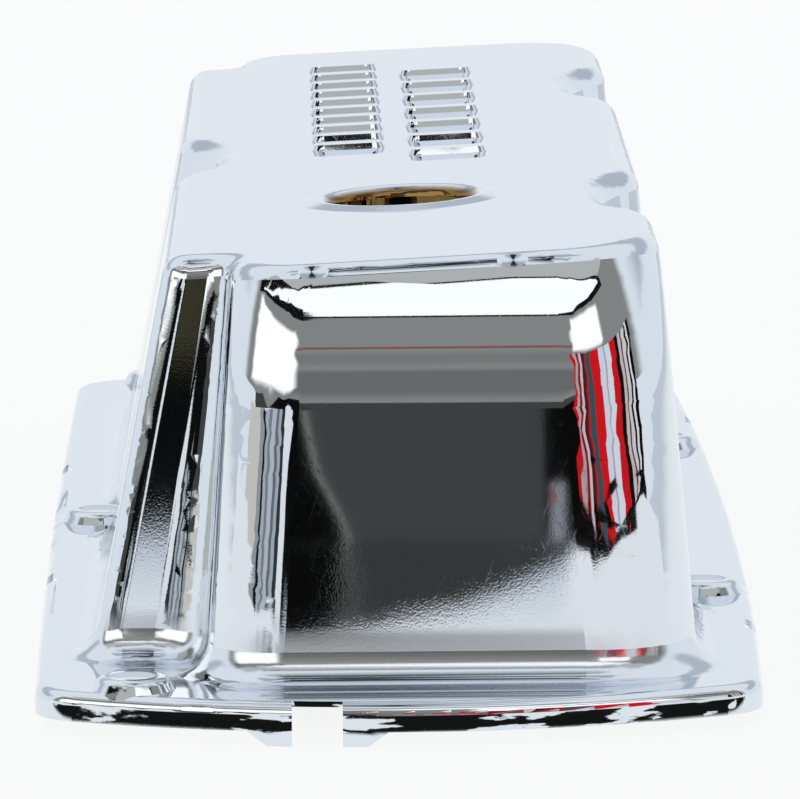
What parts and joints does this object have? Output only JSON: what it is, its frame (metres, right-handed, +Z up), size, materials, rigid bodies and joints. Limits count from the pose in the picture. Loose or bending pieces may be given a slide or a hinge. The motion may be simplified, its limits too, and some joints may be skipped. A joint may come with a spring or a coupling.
{
  "type": "engine valve cover",
  "caption": "Chrome-plated pressed steel valve cover with bolt pockets, turned-down rail lip, gasket tabs, breather hole and inner oil baffle.",
  "frame": {"origin": "middle of the cover's footprint, level with the tips of the gasket tabs it stands on", "axes": "+Z up through the top face, +Y along the cover towards the end away from the breather, +X towards the side with two bolts"},
  "size_m": [0.1572, 0.481, 0.0984],
  "materials": {
    "chrome_plate": "bright chrome plate over pressed sheet steel",
    "bright_steel": "bare cold-rolled sheet steel, lightly oiled"
  },
  "bodies": {
    "root": {"cover_shell": "chrome_plate", "oil_baffle": "bright_steel"}
  },
  "joints": []
}
